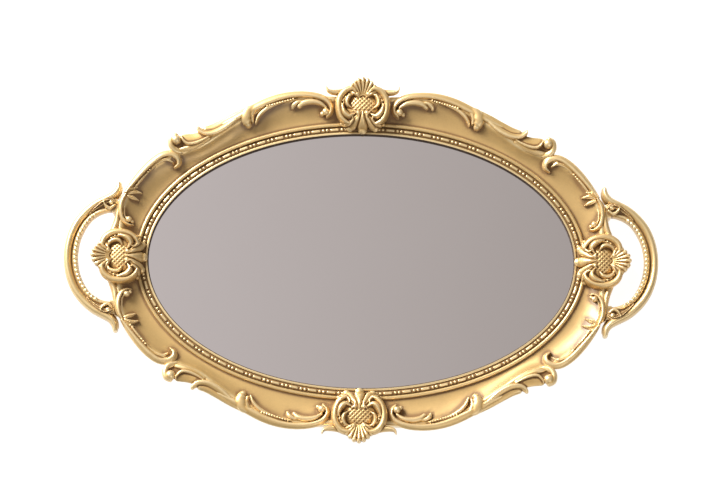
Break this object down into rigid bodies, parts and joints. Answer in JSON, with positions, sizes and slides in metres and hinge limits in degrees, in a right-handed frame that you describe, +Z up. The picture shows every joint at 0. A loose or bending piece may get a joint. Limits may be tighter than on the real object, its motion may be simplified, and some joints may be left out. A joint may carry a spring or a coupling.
{
  "type": "dresser vanity tray",
  "caption": "Oval mirrored vanity tray with a gilt rococo cast frame, applied scroll ornament and a loop handle at each end.",
  "frame": {"origin": "centre of the oval on the surface that the felt base rests on", "axes": "+X along the long axis towards one handle, +Y towards the back medallion, +Z up out of the mirror"},
  "size_m": [0.39, 0.2412, 0.0235],
  "materials": {
    "gilt_casting": "antique gold paint over cast resin",
    "gilt_beading": "antique gold paint, rubbed lighter on the beads",
    "gilt_ornament": "antique gold paint, rubbed lighter on the high places",
    "mirror": "silvered clear glass",
    "foam_tape": "foam tape",
    "hardboard": "smooth hardboard",
    "screw_steel": "zinc plated",
    "felt": "pressed felt"
  },
  "bodies": {
    "root": {"frame": "gilt_casting", "bead_and_reel_ring": "gilt_beading", "mirror_glass": "mirror", "mirror_tape_strips": "foam_tape", "backing_board": "hardboard", "backing_screws": "screw_steel", "felt_base": "felt", "handle_left": "gilt_casting", "handle_right": "gilt_casting", "handle_screws": "screw_steel", "medallion_back": "gilt_ornament", "medallion_front": "gilt_ornament", "medallion_left": "gilt_ornament", "medallion_right": "gilt_ornament", "arch_scroll_back_right": "gilt_ornament", "arch_scroll_back_left": "gilt_ornament", "arch_scroll_front_left": "gilt_ornament", "arch_scroll_front_right": "gilt_ornament", "ess_scroll_back_right": "gilt_ornament", "ess_scroll_back_left": "gilt_ornament", "ess_scroll_front_left": "gilt_ornament", "ess_scroll_front_right": "gilt_ornament", "corner_scroll_back_right": "gilt_ornament", "corner_scroll_back_left": "gilt_ornament", "corner_scroll_front_left": "gilt_ornament", "corner_scroll_front_right": "gilt_ornament", "side_scroll_back_right": "gilt_ornament", "side_scroll_back_left": "gilt_ornament", "side_scroll_front_left": "gilt_ornament", "side_scroll_front_right": "gilt_ornament", "leaf_sprig_back_right": "gilt_ornament", "leaf_sprig_back_left": "gilt_ornament", "leaf_sprig_front_left": "gilt_ornament", "leaf_sprig_front_right": "gilt_ornament"}
  },
  "joints": []
}
